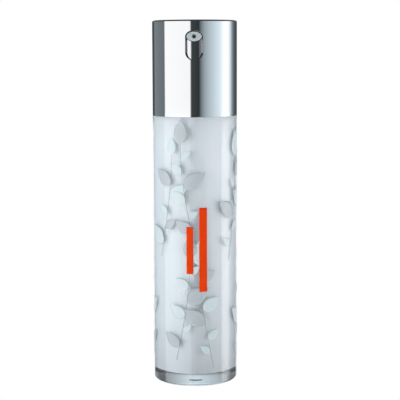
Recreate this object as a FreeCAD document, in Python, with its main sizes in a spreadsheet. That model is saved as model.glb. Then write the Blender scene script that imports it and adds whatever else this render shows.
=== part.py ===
import FreeCAD, Part
import math
import os

import Sketcher

# Airless pump bottle: a clear outer bottle holds a white inner bottle with a follower piston, and a snap-on
# pump under a plated shroud. Millimetres, +Z up, the base rests on z = 0 and the nozzle points to -Y.

DRIVING_SIZES = [
    # Whole bottle
    ("body_radius", 16.5),
    ("bottle_height", 104.9),
    # Clear outer bottle
    ("outer_wall", 2.2),
    ("base_thick", 4.8),
    ("base_round", 1.3),
    ("gate_radius", 1.8),
    ("gate_depth", 0.5),
    # Air's way from the bottle's rim to the follower's underside
    ("notch_width", 2.0),
    ("notch_depth", 0.3),
    # White inner bottle with shoulder and neck
    ("inner_gap", 0.3),
    ("inner_wall", 1.0),
    ("shoulder_thick", 1.2),
    ("neck_wall", 1.2),
    ("neck_rise", 6.9),
    ("bead_depth", 0.4),
    ("bead_height", 1.0),
    ("bead_drop", 2.0),
    # Plug that closes the inner bottle's lower end
    ("plug_rim", 2.0),
    ("plug_rim_wall", 1.45),
    ("plug_web", 1.2),
    ("plug_vent", 1.0),
    # Follower piston
    ("follower_height", 14.0),
    ("follower_lip", 1.2),
    ("follower_relief", 0.65),
    ("follower_wall", 1.0),
    # Pump cylinder, its gasket and its inlet valve
    ("gasket_thick", 0.8),
    ("flange_thick", 1.2),
    ("barrel_bore", 5.5),
    ("barrel_wall", 1.0),
    ("barrel_drop", 11.8),
    ("floor_thick", 1.2),
    ("ball_radius", 2.0),
    ("ball_side_gap", 0.3),
    ("ball_lift", 0.8),
    ("inlet_radius", 1.2),
    ("inlet_length", 1.2),
    ("nose_wall", 1.3),
    ("retainer_ledge", 0.9),
    ("retainer_edge", 0.4),
    ("retainer_thick", 0.6),
    ("retainer_hole", 0.7),
    # Piston, rod and stem
    ("press_stroke", 6.5),
    ("lost_motion", 0.8),
    ("floor_clear", 0.8),
    ("rod_head_radius", 4.0),
    ("rod_head_thick", 1.5),
    ("rod_flat", 0.9),
    ("rod_grip", 3.5),
    ("piston_height", 4.0),
    ("piston_lip", 0.8),
    ("piston_relief", 0.5),
    ("piston_hub_wall", 0.8),
    ("piston_passage", 0.5),
    ("piston_web", 1.2),
    ("stem_radius", 2.9),
    ("stem_bore", 1.5),
    # Cap of the cylinder with its wiper
    ("cap_clear", 0.95),
    ("cap_plug", 3.2),
    ("cap_flange", 1.0),
    ("wiper_height", 0.7),
    ("wiper_wall", 1.2),
    # Snap-on collar
    ("collar_plate", 1.2),
    ("collar_wall", 1.25),
    ("catch_height", 1.0),
    ("collar_lead", 0.95),
    ("bead_play", 0.35),
    # Shroud, its window and its guide sleeve
    ("shroud_wall", 1.7),
    ("shroud_round", 0.6),
    ("window_foot_rise", 2.85),
    ("window_side_gap", 0.25),
    ("window_top_gap", 0.2),
    ("window_floor_gap", 0.5),
    ("sleeve_height", 10.9),
    ("sleeve_wall", 1.05),
    ("sleeve_foot", 3.4),
    ("sleeve_ledge", 1.15),
    # Button: plated shell, core and nozzle
    ("button_recess", 0.3),
    ("shell_wall", 1.15),
    ("shell_top", 1.4),
    ("shell_round", 0.5),
    ("foot_clear", 0.5),
    ("dish_rim", 2.55),
    ("dish_depth", 0.6),
    ("core_disc", 1.4),
    ("hub_wall", 1.55),
    ("hub_clear", 1.0),
    ("socket_depth", 4.5),
    ("seat_step", 1.5),
    ("seat_thick", 1.4),
    ("seat_rim", 0.75),
    ("stem_stop", 1.4),
    ("arm_wall", 0.85),
    ("arm_setback", 0.5),
    ("channel_radius", 0.9),
    ("crown_rise", 6.0),
    ("nozzle_half_width", 3.0),
    ("nozzle_half_height", 1.95),
    ("nozzle_setback", 0.15),
    ("nozzle_plug_radius", 1.5),
    ("nozzle_plug_length", 2.6),
    ("orifice_radius", 0.3),
    ("mouth_radius", 0.8),
    ("mouth_depth", 0.35),
    # Return spring
    ("spring_wire", 0.85),
    ("spring_gap", 0.5),
    ("spring_turns", 7),
    # Clearances
    ("fit_gap", 0.05),
    ("rest_gap", 0.05),
    ("slide_gap", 0.25),
    ("dip_gap", 0.8),
    ("top_gap", 0.3),
]

# Radii and levels that follow from the driving sizes, each from those above it
FOLLOWING_SIZES = [
    # Radii from the shroud inwards to the neck
    ("bottle_bore", "Sizes.body_radius - Sizes.outer_wall"),
    ("inner_radius", "bottle_bore - Sizes.inner_gap"),
    ("inner_bore", "inner_radius - Sizes.inner_wall"),
    ("shroud_bore", "Sizes.body_radius - Sizes.shroud_wall"),
    ("shoulder_radius", "shroud_bore - Sizes.fit_gap"),
    ("sleeve_radius", "shroud_bore - Sizes.fit_gap"),
    ("sleeve_bore", "sleeve_radius - Sizes.sleeve_wall"),
    ("sleeve_grip", "sleeve_bore - Sizes.sleeve_ledge"),
    ("collar_radius", "sleeve_grip - Sizes.fit_gap"),
    ("collar_bore", "collar_radius - Sizes.collar_wall"),
    ("bead_radius", "collar_bore - Sizes.bead_play"),
    ("neck_radius", "bead_radius - Sizes.bead_depth"),
    ("neck_bore", "neck_radius - Sizes.neck_wall"),
    # Shoulder, neck, plug and notch in the rim
    ("notch_foot", "Sizes.bottle_height - Sizes.notch_depth"),
    ("shoulder_level", "Sizes.bottle_height + Sizes.shoulder_thick"),
    ("neck_level", "shoulder_level + Sizes.neck_rise"),
    ("bead_level", "neck_level - Sizes.bead_drop"),
    ("bead_foot", "bead_level - Sizes.bead_height"),
    ("plug_radius", "inner_bore - Sizes.fit_gap"),
    ("plug_rim_bore", "plug_radius - Sizes.plug_rim_wall"),
    ("plug_web_level", "Sizes.base_thick + Sizes.plug_web"),
    ("plug_level", "Sizes.base_thick + Sizes.plug_rim"),
    # Pump cylinder
    ("gasket_level", "neck_level + Sizes.gasket_thick"),
    ("flange_level", "gasket_level + Sizes.flange_thick"),
    ("chamber_floor", "flange_level - Sizes.barrel_drop"),
    ("barrel_foot", "chamber_floor - Sizes.floor_thick"),
    ("barrel_radius", "Sizes.barrel_bore + Sizes.barrel_wall"),
    ("ball_bore", "Sizes.ball_radius + Sizes.ball_side_gap"),
    ("nose_radius", "ball_bore + Sizes.nose_wall"),
    ("retainer_radius", "ball_bore + Sizes.retainer_ledge"),
    ("retainer_pitch", "retainer_radius - Sizes.retainer_edge - Sizes.retainer_hole"),
    ("retainer_seat", "retainer_radius + Sizes.fit_gap"),
    ("retainer_foot", "chamber_floor - Sizes.retainer_thick"),
    ("ball_centre", "retainer_foot - Sizes.rest_gap - Sizes.ball_lift - Sizes.ball_radius"),
    ("valve_foot", "ball_centre + Sizes.inlet_radius - sqrt(2) * (Sizes.ball_radius + Sizes.rest_gap)"),
    ("valve_level", "valve_foot + ball_bore - Sizes.inlet_radius"),
    ("nose_foot", "valve_foot - Sizes.inlet_length"),
    # Follower piston, with a stepped well that clears the pump at the end of its rise
    ("follower_lip_radius", "inner_bore - Sizes.fit_gap"),
    ("follower_radius", "follower_lip_radius - Sizes.follower_relief"),
    ("follower_foot", "plug_level + Sizes.rest_gap"),
    ("follower_level", "follower_foot + Sizes.follower_height"),
    ("follower_lip_top", "follower_foot + Sizes.follower_lip"),
    ("follower_lip_foot", "follower_level - Sizes.follower_lip"),
    ("follower_rise", "Sizes.bottle_height - Sizes.top_gap - follower_level"),
    ("well_radius", "barrel_radius + Sizes.dip_gap"),
    ("well_floor", "barrel_foot - follower_rise - Sizes.dip_gap"),
    ("dip_radius", "nose_radius + Sizes.dip_gap"),
    ("dip_floor", "nose_foot - follower_rise - Sizes.dip_gap"),
    ("skirt_bore", "follower_radius - Sizes.follower_wall"),
    ("crown_under", "follower_level - Sizes.follower_wall"),
    ("well_outside", "well_radius + Sizes.follower_wall"),
    ("well_under", "well_floor - Sizes.follower_wall"),
    ("dip_outside", "dip_radius + Sizes.follower_wall"),
    ("dip_under", "dip_floor - Sizes.follower_wall"),
    # Rod, piston and cap
    ("rod_foot", "chamber_floor + Sizes.floor_clear + Sizes.press_stroke"),
    ("rod_level", "rod_foot + Sizes.rod_head_thick"),
    ("rod_radius", "Sizes.stem_bore - Sizes.fit_gap"),
    ("piston_foot", "rod_level + Sizes.rest_gap"),
    ("piston_level", "piston_foot + Sizes.piston_height"),
    ("piston_lip_radius", "Sizes.barrel_bore - Sizes.fit_gap"),
    ("piston_radius", "piston_lip_radius - Sizes.piston_relief"),
    ("piston_bore", "rod_radius + Sizes.piston_passage"),
    ("piston_hub", "piston_bore + Sizes.piston_hub_wall"),
    ("piston_lip_top", "piston_foot + Sizes.piston_lip"),
    ("piston_lip_foot", "piston_level - Sizes.piston_lip"),
    ("piston_web_foot", "(piston_foot + piston_level - Sizes.piston_web) / 2"),
    ("piston_web_level", "piston_web_foot + Sizes.piston_web"),
    ("piston_skirt", "piston_radius - Sizes.piston_hub_wall"),
    ("stem_foot", "piston_level + Sizes.lost_motion + Sizes.rest_gap"),
    ("cap_plug_radius", "Sizes.barrel_bore - Sizes.fit_gap"),
    ("cap_foot", "piston_level + Sizes.lost_motion + Sizes.cap_clear"),
    ("tower_level", "cap_foot + Sizes.cap_plug"),
    ("cap_level", "tower_level + Sizes.cap_flange"),
    ("cap_bore", "Sizes.stem_radius + Sizes.fit_gap"),
    ("wiper_radius", "cap_bore + Sizes.wiper_wall"),
    ("wiper_seat", "wiper_radius + Sizes.fit_gap"),
    ("wiper_foot", "cap_level - Sizes.wiper_height"),
    # Collar and guide sleeve
    ("collar_hole", "barrel_radius + Sizes.fit_gap"),
    ("collar_level", "flange_level + Sizes.collar_plate"),
    ("catch_radius", "neck_radius + Sizes.fit_gap"),
    ("catch_level", "bead_foot - Sizes.fit_gap"),
    ("catch_foot", "catch_level - Sizes.catch_height"),
    ("collar_foot", "catch_foot - Sizes.collar_lead"),
    ("sleeve_step", "shoulder_level + Sizes.sleeve_foot"),
    ("sleeve_level", "shoulder_level + Sizes.sleeve_height"),
    # Button, stacked on the stem from the cap upwards, and the shroud's top with it
    ("socket_radius", "Sizes.stem_radius + Sizes.fit_gap"),
    ("hub_radius", "socket_radius + Sizes.hub_wall"),
    ("hub_foot", "cap_level + Sizes.hub_clear + Sizes.press_stroke"),
    ("seat_foot", "hub_foot + Sizes.seat_step"),
    ("seat_level", "seat_foot + Sizes.seat_thick"),
    ("spring_radius", "barrel_radius + Sizes.spring_gap + Sizes.spring_wire / 2"),
    ("seat_radius", "spring_radius + Sizes.spring_wire / 2 + Sizes.seat_rim"),
    ("stem_level", "hub_foot + Sizes.socket_depth"),
    ("nozzle_level", "stem_level + Sizes.stem_stop"),
    ("button_level", "nozzle_level + Sizes.crown_rise"),
    ("total_height", "button_level + Sizes.button_recess"),
    ("shell_ceiling", "button_level - Sizes.shell_top"),
    ("shell_foot", "sleeve_level + Sizes.foot_clear + Sizes.press_stroke"),
    ("shell_radius", "shroud_bore - Sizes.slide_gap"),
    ("shell_bore", "shell_radius - Sizes.shell_wall"),
    ("dish_radius", "shell_radius - Sizes.dish_rim"),
    ("dish_curve", "(dish_radius ^ 2 + Sizes.dish_depth ^ 2) / (2 * Sizes.dish_depth)"),
    ("core_radius", "shell_bore - Sizes.fit_gap"),
    ("disc_foot", "shell_ceiling - Sizes.core_disc"),
    ("nozzle_face", "Sizes.body_radius - Sizes.nozzle_setback"),
    ("channel_level", "nozzle_level + Sizes.channel_radius"),
    ("arm_end", "shell_bore - Sizes.arm_setback"),
    ("plug_end", "arm_end - Sizes.nozzle_plug_length"),
    ("plug_socket", "Sizes.nozzle_plug_radius + Sizes.fit_gap"),
    ("arm_radius", "plug_socket + Sizes.arm_wall"),
    # Window
    ("window_half_width", "Sizes.nozzle_half_width + Sizes.window_side_gap"),
    ("window_crown_rise", "Sizes.nozzle_half_height + Sizes.window_top_gap"),
    ("window_foot", "nozzle_level - Sizes.press_stroke - Sizes.nozzle_half_height - Sizes.window_floor_gap"),
    ("window_foot_centre", "window_foot + Sizes.window_foot_rise"),
]

doc = FreeCAD.newDocument("airless_pump_bottle")
FACING_FRONT = FreeCAD.Rotation(FreeCAD.Vector(1, 0, 0), 90)
AXIS = "axis"
GROUND = "ground"


def fill_sheet(name, rows, mark):
    sheet = doc.addObject("Spreadsheet::Sheet", name)
    for row, (alias, content) in enumerate(rows, 1):
        sheet.set(f"A{row}", alias)
        sheet.set(f"B{row}", f"{mark}{content}")
        sheet.setAlias(f"B{row}", alias)
    doc.recompute()
    return sheet


sizes = fill_sheet("Sizes", DRIVING_SIZES, "")
places = fill_sheet("Places", FOLLOWING_SIZES, "=")
SHEET_OF = {alias: sizes for alias, _ in DRIVING_SIZES}
SHEET_OF.update({alias: places for alias, _ in FOLLOWING_SIZES})


def value(alias):
    return float(getattr(SHEET_OF[alias], alias))


def cell(alias):
    return f"{SHEET_OF[alias].Name}.{alias}"


def bind(item, **expressions):
    for name, expression in expressions.items():
        item.setExpression(name.replace("_at_", "Placement.Base."), expression)
    return item


def new_body(label):
    body = doc.addObject("PartDesign::Body", label)
    body.Label = label
    return body


def new_sketch(body, name, role):
    sketch = body.newObject("Sketcher::SketchObject", f"{body.Name}_{name}")
    plane = next(item for item in body.Origin.OriginFeatures if item.Role == role)
    sketch.AttachmentSupport = [(plane, "")]
    sketch.MapMode = "FlatFace"
    return sketch


def hold_point(sketch, line, across, up):
    """Hold the start of a line at a radius and a level, each named in a sheet."""
    for kind, alias, datum in (("DistanceX", across, -2), ("DistanceY", up, -1)):
        if alias in (AXIS, GROUND):
            sketch.addConstraint(Sketcher.Constraint("PointOnObject", line, 1, datum))
            continue
        number = sketch.addConstraint(Sketcher.Constraint(kind, -1, 1, line, 1, value(alias)))
        sketch.setExpression(f"Constraints[{number}]", cell(alias))


def draw_outline(sketch, corners):
    """Draw a closed outline of straight sides through corners given as named radius and level."""
    spots = []
    for across, up in corners:
        x = 0 if across == AXIS else value(across)
        y = 0 if up == GROUND else value(up)
        spots.append(FreeCAD.Vector(x, y, 0))
    count = len(spots)
    for index in range(count):
        sketch.addGeometry(Part.LineSegment(spots[index], spots[(index + 1) % count]), False)
    for index in range(count):
        sketch.addConstraint(Sketcher.Constraint("Coincident", index, 2, (index + 1) % count, 1))
    for index, (across, up) in enumerate(corners):
        hold_point(sketch, index, across, up)


def draw_circle(sketch, radius, up=None, across=None):
    """Draw a circle of a named radius, centred on the sketch's axis or at named distances from it."""
    x = value(across) if across else 0
    y = value(up) if up else 0
    sketch.addGeometry(Part.Circle(FreeCAD.Vector(x, y, 0), FreeCAD.Vector(0, 0, 1), value(radius)), False)
    held = [("Radius", (0,), radius)]
    for kind, alias, datum in (("DistanceX", across, -2), ("DistanceY", up, -1)):
        if alias:
            held.append((kind, (-1, 1, 0, 3), alias))
        else:
            sketch.addConstraint(Sketcher.Constraint("PointOnObject", 0, 3, datum))
    for kind, targets, alias in held:
        number = sketch.addConstraint(Sketcher.Constraint(kind, *targets, value(alias)))
        sketch.setExpression(f"Constraints[{number}]", cell(alias))


def revolve(body, corners, kind="PartDesign::Revolution", name="turned"):
    sketch = new_sketch(body, f"{name}_outline", "XZ_Plane")
    draw_outline(sketch, corners)
    feature = body.newObject(kind, f"{body.Name}_{name}")
    feature.Profile = sketch
    feature.ReferenceAxis = (sketch, ["V_Axis"])
    feature.Angle = 360
    doc.recompute()
    return feature


def turned_part(label, corners):
    body = new_body(label)
    revolve(body, corners)
    return body


def round_rim(body, radius, level, rounding):
    """Round the circular edge at a named radius and level of a turned body."""
    base = body.Tip
    names = []
    for number, edge in enumerate(base.Shape.Edges, 1):
        if not isinstance(edge.Curve, Part.Circle):
            continue
        near_radius = math.isclose(edge.Curve.Radius, value(radius), abs_tol=1e-6)
        height = 0 if level == GROUND else value(level)
        if near_radius and math.isclose(edge.Curve.Center.z, height, abs_tol=1e-6):
            names.append(f"Edge{number}")
    fillet = body.newObject("PartDesign::Fillet", f"{body.Name}_round_{level}")
    fillet.Base = (base, names)
    fillet.setExpression("Radius", cell(rounding))
    doc.recompute()


def oval_prism(name, half_width, half_height, level, start, length):
    """Oval prism that points to the front, with its start at a distance in front of the axis."""
    oval = doc.addObject("Part::Ellipse", f"{name}_oval")
    oval.Placement.Rotation = FACING_FRONT
    bind(oval, MajorRadius=half_width, MinorRadius=half_height, _at_z=level, _at_y=f"-({start})")
    prism = doc.addObject("Part::Extrusion", name)
    prism.Base = oval
    prism.DirMode = "Custom"
    prism.Dir = FreeCAD.Vector(0, -1, 0)
    prism.Solid = True
    return bind(prism, LengthFwd=length)


def front_rod(name, radius, level, start, length):
    """Round rod that points to the front, with its start at a distance in front of the axis."""
    rod = doc.addObject("Part::Cylinder", name)
    rod.Placement.Rotation = FACING_FRONT
    return bind(rod, Radius=radius, Height=length, _at_z=level, _at_y=f"-({start})")


def upright_rod(name, radius, foot, length):
    rod = doc.addObject("Part::Cylinder", name)
    return bind(rod, Radius=radius, Height=length, _at_z=foot)


def combine(kind, label, base, tool):
    result = doc.addObject(f"Part::{kind}", label)
    result.Label = label
    result.Base = base
    result.Tool = tool
    doc.recompute()
    return result


def air_notch(label, body, foot):
    """Cut a notch through the back of a turned body, from the axis outwards, that lets air past it."""
    notch = doc.addObject("Part::Box", f"{label}_notch")
    bind(notch, Length=cell("notch_width"), Width=cell("body_radius"), Height=cell("notch_depth"))
    bind(notch, _at_x=f"-{cell('notch_width')} / 2", _at_z=cell(foot))
    return combine("Cut", label, body, notch)


def make_outer_bottle():
    """Clear bottle with a round gate mark under its base and an air notch in its rim."""
    body = turned_part("clear_tube", [
        (AXIS, "gate_depth"),
        ("gate_radius", "gate_depth"),
        ("gate_radius", GROUND),
        ("body_radius", GROUND),
        ("body_radius", "bottle_height"),
        ("bottle_bore", "bottle_height"),
        ("bottle_bore", "base_thick"),
        (AXIS, "base_thick"),
    ])
    round_rim(body, "body_radius", GROUND, "base_round")
    return air_notch("outer_bottle", body, "notch_foot")


def make_inner_bottle():
    body = turned_part("white_tube", [
        ("inner_bore", "base_thick"),
        ("inner_radius", "base_thick"),
        ("inner_radius", "bottle_height"),
        ("shoulder_radius", "bottle_height"),
        ("shoulder_radius", "shoulder_level"),
        ("neck_radius", "shoulder_level"),
        ("neck_radius", "bead_foot"),
        ("bead_radius", "bead_foot"),
        ("neck_radius", "bead_level"),
        ("neck_radius", "neck_level"),
        ("neck_bore", "neck_level"),
        ("neck_bore", "bottle_height"),
        ("inner_bore", "bottle_height"),
    ])
    return air_notch("inner_bottle", body, "base_thick")


def make_base_plug():
    body = turned_part("plug_disc", [
        ("plug_vent", "base_thick"),
        ("plug_radius", "base_thick"),
        ("plug_radius", "plug_level"),
        ("plug_rim_bore", "plug_level"),
        ("plug_rim_bore", "plug_web_level"),
        ("plug_vent", "plug_web_level"),
    ])
    return air_notch("base_plug", body, "base_thick")


def make_follower():
    return turned_part("follower_piston", [
        ("skirt_bore", "follower_foot"),
        ("follower_lip_radius", "follower_foot"),
        ("follower_lip_radius", "follower_lip_top"),
        ("follower_radius", "follower_lip_top"),
        ("follower_radius", "follower_lip_foot"),
        ("follower_lip_radius", "follower_lip_foot"),
        ("follower_lip_radius", "follower_level"),
        ("well_radius", "follower_level"),
        ("well_radius", "well_floor"),
        ("dip_radius", "well_floor"),
        ("dip_radius", "dip_floor"),
        (AXIS, "dip_floor"),
        (AXIS, "dip_under"),
        ("dip_outside", "dip_under"),
        ("dip_outside", "well_under"),
        ("well_outside", "well_under"),
        ("well_outside", "crown_under"),
        ("skirt_bore", "crown_under"),
    ])


def make_neck_gasket():
    return turned_part("neck_gasket", [
        ("neck_bore", "neck_level"),
        ("neck_radius", "neck_level"),
        ("neck_radius", "gasket_level"),
        ("neck_bore", "gasket_level"),
    ])


def make_pump_housing():
    return turned_part("pump_housing", [
        ("inlet_radius", "nose_foot"),
        ("nose_radius", "nose_foot"),
        ("nose_radius", "barrel_foot"),
        ("barrel_radius", "barrel_foot"),
        ("barrel_radius", "gasket_level"),
        ("neck_radius", "gasket_level"),
        ("neck_radius", "flange_level"),
        ("barrel_radius", "flange_level"),
        ("barrel_radius", "tower_level"),
        ("barrel_bore", "tower_level"),
        ("barrel_bore", "chamber_floor"),
        ("retainer_seat", "chamber_floor"),
        ("retainer_seat", "retainer_foot"),
        ("ball_bore", "retainer_foot"),
        ("ball_bore", "valve_level"),
        ("inlet_radius", "valve_foot"),
    ])


def make_inlet_ball():
    ball = doc.addObject("Part::Sphere", "inlet_ball")
    ball.Label = "inlet_ball"
    return bind(ball, Radius=cell("ball_radius"), _at_z=cell("ball_centre"))


def make_ball_retainer():
    """Disc over the ball with three holes that let the product past."""
    body = turned_part("ball_retainer", [
        (AXIS, "retainer_foot"),
        ("retainer_radius", "retainer_foot"),
        ("retainer_radius", "chamber_floor"),
        (AXIS, "chamber_floor"),
    ])
    sketch = new_sketch(body, "hole_outline", "XY_Plane")
    draw_circle(sketch, "retainer_hole", across="retainer_pitch")
    pocket = body.newObject("PartDesign::Pocket", "retainer_bore")
    pocket.Profile = sketch
    pocket.Type = "ThroughAll"
    pocket.Reversed = True
    doc.recompute()
    pattern = body.newObject("PartDesign::PolarPattern", "retainer_holes")
    pattern.Originals = [pocket]
    pattern.Axis = (sketch, ["N_Axis"])
    pattern.Angle = 360
    pattern.Occurrences = 3
    body.Tip = pattern
    doc.recompute()
    return body


def make_pump_piston():
    """Soft piston with a lip at each end of its skirt and a hub that seats on the rod's head."""
    return turned_part("pump_piston", [
        ("piston_bore", "piston_foot"),
        ("piston_hub", "piston_foot"),
        ("piston_hub", "piston_web_foot"),
        ("piston_skirt", "piston_web_foot"),
        ("piston_skirt", "piston_foot"),
        ("piston_lip_radius", "piston_foot"),
        ("piston_lip_radius", "piston_lip_top"),
        ("piston_radius", "piston_lip_top"),
        ("piston_radius", "piston_lip_foot"),
        ("piston_lip_radius", "piston_lip_foot"),
        ("piston_lip_radius", "piston_level"),
        ("piston_skirt", "piston_level"),
        ("piston_skirt", "piston_web_level"),
        ("piston_hub", "piston_web_level"),
        ("piston_hub", "piston_level"),
        ("piston_bore", "piston_level"),
    ])


def make_piston_rod():
    """Valve head with a shank whose two flats leave a way for the product up the stem."""
    head = upright_rod("rod_head", cell("rod_head_radius"), cell("rod_foot"), cell("rod_head_thick"))
    length = f"{cell('stem_foot')} + {cell('rod_grip')} - {cell('rod_level')}"
    round_shank = upright_rod("rod_round_shank", cell("rod_radius"), cell("rod_level"), length)
    flats = doc.addObject("Part::Box", "rod_flats")
    bind(flats, Length=f"2 * {cell('rod_radius')}", Width=f"2 * {cell('rod_flat')}", Height=length)
    bind(flats, _at_x=f"-{cell('rod_radius')}", _at_y=f"-{cell('rod_flat')}", _at_z=cell("rod_level"))
    shank = combine("Common", "rod_shank", round_shank, flats)
    return combine("Fuse", "piston_rod", head, shank)


def make_stem():
    return turned_part("stem", [
        ("stem_bore", "stem_foot"),
        ("stem_radius", "stem_foot"),
        ("stem_radius", "stem_level"),
        ("stem_bore", "stem_level"),
    ])


def make_housing_cap():
    return turned_part("housing_cap", [
        ("cap_bore", "cap_foot"),
        ("cap_plug_radius", "cap_foot"),
        ("cap_plug_radius", "tower_level"),
        ("barrel_radius", "tower_level"),
        ("barrel_radius", "cap_level"),
        ("wiper_seat", "cap_level"),
        ("wiper_seat", "wiper_foot"),
        ("cap_bore", "wiper_foot"),
    ])


def make_stem_wiper():
    return turned_part("stem_wiper", [
        ("cap_bore", "wiper_foot"),
        ("wiper_radius", "wiper_foot"),
        ("wiper_radius", "cap_level"),
        ("cap_bore", "cap_level"),
    ])


def make_closure_collar():
    return turned_part("closure_collar", [
        ("collar_hole", "flange_level"),
        ("collar_bore", "flange_level"),
        ("collar_bore", "catch_level"),
        ("catch_radius", "catch_level"),
        ("catch_radius", "catch_foot"),
        ("collar_bore", "catch_foot"),
        ("collar_bore", "collar_foot"),
        ("collar_radius", "collar_foot"),
        ("collar_radius", "collar_level"),
        ("collar_hole", "collar_level"),
    ])


def make_guide_sleeve():
    return turned_part("guide_sleeve", [
        ("sleeve_grip", "shoulder_level"),
        ("sleeve_radius", "shoulder_level"),
        ("sleeve_radius", "sleeve_level"),
        ("sleeve_bore", "sleeve_level"),
        ("sleeve_bore", "sleeve_step"),
        ("sleeve_grip", "sleeve_step"),
    ])


def make_shroud():
    """Plated sleeve with a window that starts at the nozzle and leaves room for its whole stroke."""
    body = turned_part("shroud_tube", [
        ("shroud_bore", "bottle_height"),
        ("body_radius", "bottle_height"),
        ("body_radius", "total_height"),
        ("shroud_bore", "total_height"),
    ])
    round_rim(body, "body_radius", "total_height", "shroud_round")
    half_width = cell("window_half_width")
    reach = cell("body_radius")
    foot_level = cell("window_foot_centre")
    crown_level = cell("nozzle_level")
    foot = oval_prism("window_foot_cut", half_width, cell("window_foot_rise"), foot_level, "0", reach)
    crown = oval_prism("window_crown_cut", half_width, cell("window_crown_rise"), crown_level, "0", reach)
    sides = doc.addObject("Part::Box", "window_side_cut")
    bind(sides, Length=f"2 * {half_width}", Width=reach, Height=f"{crown_level} - {foot_level}")
    bind(sides, _at_x=f"-{half_width}", _at_y=f"-{reach}", _at_z=foot_level)
    lower = combine("Fuse", "window_lower_cut", foot, sides)
    window = combine("Fuse", "window_cut", lower, crown)
    return combine("Cut", "shroud", body, window)


def make_actuator_shell():
    """Plated button with a finger dish on top and an oval hole for the nozzle."""
    body = turned_part("shell_cup", [
        ("shell_bore", "shell_foot"),
        ("shell_radius", "shell_foot"),
        ("shell_radius", "button_level"),
        (AXIS, "button_level"),
        (AXIS, "shell_ceiling"),
        ("shell_bore", "shell_ceiling"),
    ])
    round_rim(body, "shell_radius", "button_level", "shell_round")
    dish = doc.addObject("Part::Sphere", "finger_dish")
    dish_centre = f"{cell('button_level')} - {cell('dish_depth')} + {cell('dish_curve')}"
    bind(dish, Radius=cell("dish_curve"), _at_z=dish_centre)
    dished = combine("Cut", "dished_cup", body, dish)
    half_width = f"{cell('nozzle_half_width')} + {cell('fit_gap')}"
    half_height = f"{cell('nozzle_half_height')} + {cell('fit_gap')}"
    reach = cell("shell_radius")
    hole = oval_prism("nozzle_hole", half_width, half_height, cell("nozzle_level"), "0", reach)
    return combine("Cut", "actuator_shell", dished, hole)


def front_feature(body, kind, name, radius, length):
    """Round pad or pocket of a body from the axis plane to the front, at the nozzle's level."""
    sketch = new_sketch(body, f"{name}_outline", "XZ_Plane")
    draw_circle(sketch, radius, up="nozzle_level")
    feature = body.newObject(f"PartDesign::{kind}", f"{body.Name}_{name}")
    feature.Profile = sketch
    feature.setExpression("Length", length)
    feature.Reversed = kind == "Pocket"
    doc.recompute()
    return feature


def make_actuator_core():
    """Inside of the button: disc under the shell, hub with the stem's socket, spring seat and nozzle arm."""
    body = turned_part("actuator_core", [
        (AXIS, "hub_foot"),
        ("hub_radius", "hub_foot"),
        ("hub_radius", "seat_foot"),
        ("seat_radius", "seat_foot"),
        ("seat_radius", "seat_level"),
        ("hub_radius", "seat_level"),
        ("hub_radius", "disc_foot"),
        ("core_radius", "disc_foot"),
        ("core_radius", "shell_ceiling"),
        (AXIS, "shell_ceiling"),
    ])
    front_feature(body, "Pad", "arm", "arm_radius", cell("arm_end"))
    revolve(body, [
        (AXIS, "hub_foot"),
        ("socket_radius", "hub_foot"),
        ("socket_radius", "stem_level"),
        ("stem_bore", "stem_level"),
        ("stem_bore", "channel_level"),
        (AXIS, "channel_level"),
    ], "PartDesign::Groove", "socket")
    front_feature(body, "Pocket", "channel", "channel_radius", cell("arm_end"))
    seat = new_sketch(body, "plug_seat_outline", "XZ_Plane")
    seat.setExpression("AttachmentOffset.Base.z", cell("plug_end"))
    draw_circle(seat, "plug_socket", up="nozzle_level")
    pocket = body.newObject("PartDesign::Pocket", "actuator_core_plug_seat")
    pocket.Profile = seat
    pocket.setExpression("Length", cell("nozzle_plug_length"))
    pocket.Reversed = True
    doc.recompute()
    return body


def make_nozzle_insert():
    """Oval nozzle block with a round plug behind it, one orifice through both and a wider mouth at the face."""
    level = cell("nozzle_level")
    arm_end = cell("arm_end")
    plug_end = cell("plug_end")
    face = cell("nozzle_face")
    block = oval_prism("nozzle_block", cell("nozzle_half_width"), cell("nozzle_half_height"), level, arm_end,
                       f"{face} - {arm_end}")
    plug = front_rod("nozzle_plug", cell("nozzle_plug_radius"), level, plug_end, cell("nozzle_plug_length"))
    solid = combine("Fuse", "nozzle_solid", block, plug)
    orifice = front_rod("nozzle_bore", cell("orifice_radius"), level, plug_end, f"{face} - {plug_end}")
    bored = combine("Cut", "bored_nozzle", solid, orifice)
    depth = cell("mouth_depth")
    mouth = front_rod("nozzle_mouth", cell("mouth_radius"), level, f"{face} - {depth}", depth)
    return combine("Cut", "nozzle_insert", bored, mouth)


def biarc(start, start_way, end, end_way):
    """Two arcs that leave start and reach end along the given unit directions."""
    span = end - start
    ways = start_way + end_way
    square = 4 - ways.dot(ways)
    along = span.dot(ways)
    reach = (math.sqrt(along * along + square * span.dot(span)) - along) / square
    first_bend = start + start_way * reach
    second_bend = end - end_way * reach
    joint = (first_bend + second_bend) * 0.5
    arcs = []
    for tail, bend, tip in ((start, first_bend, joint), (joint, second_bend, end)):
        middle = (tail + tip) * 0.5
        lean = (tip - tail).Length / (2 * reach)
        arcs.append(Part.Arc(tail, middle + (bend - middle) * (lean / (1 + lean)), tip).toShape())
    return arcs


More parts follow.
